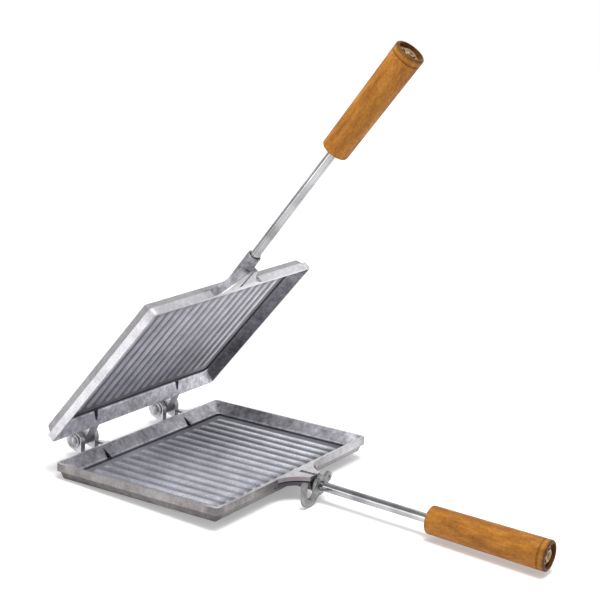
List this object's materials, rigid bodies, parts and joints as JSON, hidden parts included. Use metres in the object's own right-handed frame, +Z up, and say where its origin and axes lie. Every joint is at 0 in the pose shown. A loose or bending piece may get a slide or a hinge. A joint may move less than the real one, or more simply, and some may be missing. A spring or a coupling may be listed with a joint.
{
  "type": "stovetop sandwich maker",
  "caption": "Hinged cast-metal sandwich press with ribbed rectangular trays, steel rod handles with turned wooden grips and a swinging latch hook.",
  "frame": {"origin": "centre of the lower tray's flat underside, under the middle of the two walls along X and along Y", "axes": "+Z up out of the lower tray, -Y out along the handles, +Y towards the hinges, +X to the right of someone who holds the handles; modelled with the upper tray open by 52 degrees"},
  "size_m": [0.235, 0.4193, 0.3919],
  "materials": {
    "cast_lower": "cast, tumbled, satin with bright worn edges",
    "cast_upper": "cast, tumbled, satin with bright worn edges",
    "rod_steel": "bright drawn and plated",
    "pin_steel": "bright rivet",
    "zinc_steel": "dull zinc plate",
    "black_steel": "blackened",
    "hook_steel": "stamped sheet, matt",
    "wood": "turned and clear varnished"
  },
  "bodies": {
    "lower": {"lower_plate": "cast_lower", "hinge_pin_left": "pin_steel", "hinge_pin_right": "pin_steel", "hinge_washer_left": "zinc_steel", "hinge_washer_right": "zinc_steel", "lower_rod": "rod_steel", "lock_nut": "black_steel", "lower_grip": "wood", "lower_end_washer": "zinc_steel", "lower_end_nut": "zinc_steel"},
    "upper": {"upper_plate": "cast_upper", "upper_rod": "rod_steel", "upper_grip": "wood", "upper_end_washer": "zinc_steel", "upper_end_nut": "zinc_steel"},
    "latch": {"latch_hook": "hook_steel"}
  },
  "joints": [
    {"name": "lid", "type": "hinge", "parent": "lower", "child": "upper", "pos_m": [0, 0.099, 0.017], "axis": [-1, 0, 0], "range_deg": [-52, 123]},
    {"name": "latch", "type": "hinge", "parent": "lower", "child": "latch", "pos_m": [0, -0.099, 0.0061], "axis": [0, 0.9993, 0.0384], "range_deg": [-22, 95]}
  ]
}
